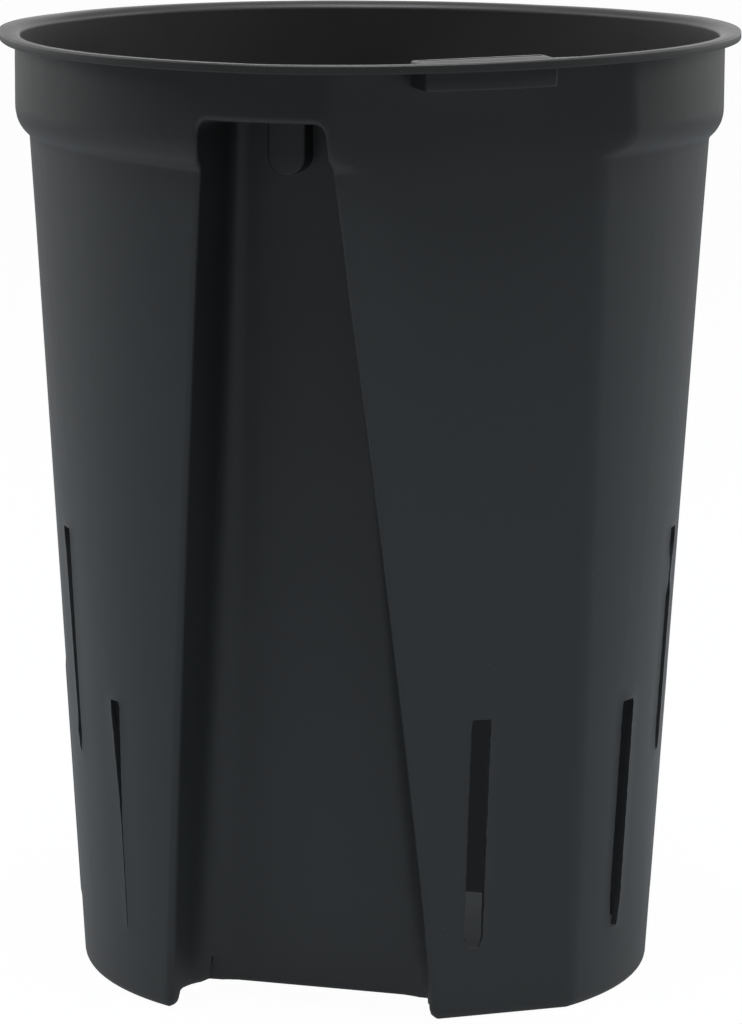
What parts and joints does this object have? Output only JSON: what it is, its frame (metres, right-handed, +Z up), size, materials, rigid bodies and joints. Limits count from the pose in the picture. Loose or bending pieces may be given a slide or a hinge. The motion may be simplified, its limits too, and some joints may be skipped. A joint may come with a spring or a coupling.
{
  "type": "nursery pot",
  "caption": "Deep round plastic nursery pot with a flat rim, wide collar, flat label face, drip channels up the wall, drain slots and a raised floor with drain holes.",
  "frame": {"origin": "centre of the base, on the plane the feet stand on", "axes": "+Z up along the pot's axis; -Y is the front, with the flat label face to the right of it and the front channel to the left"},
  "size_m": [0.2, 0.2, 0.2589],
  "materials": {
    "black_plastic": "satin black polypropylene with a fine matt grain"
  },
  "bodies": {
    "root": {"rim_flange": "black_plastic", "collar_band": "black_plastic", "label_pocket": "black_plastic", "label_panel": "black_plastic", "label_lobe_wall_1": "black_plastic", "label_lobe_wall_2": "black_plastic", "label_lobe_wall_3": "black_plastic", "plain_lobe_wall_1": "black_plastic", "plain_lobe_wall_2": "black_plastic", "plain_lobe_wall_3": "black_plastic", "plain_lobe_wall_4": "black_plastic", "front_channel_back": "black_plastic", "front_channel_left_side": "black_plastic", "front_channel_right_side": "black_plastic", "front_channel_ceiling": "black_plastic", "front_channel_denesting_lug": "black_plastic", "rear_channel_back": "black_plastic", "rear_channel_left_side": "black_plastic", "rear_channel_right_side": "black_plastic", "rear_channel_ceiling": "black_plastic", "rear_channel_denesting_lug": "black_plastic", "floor": "black_plastic", "label_lobe_foot": "black_plastic", "plain_lobe_foot": "black_plastic"}
  },
  "joints": []
}
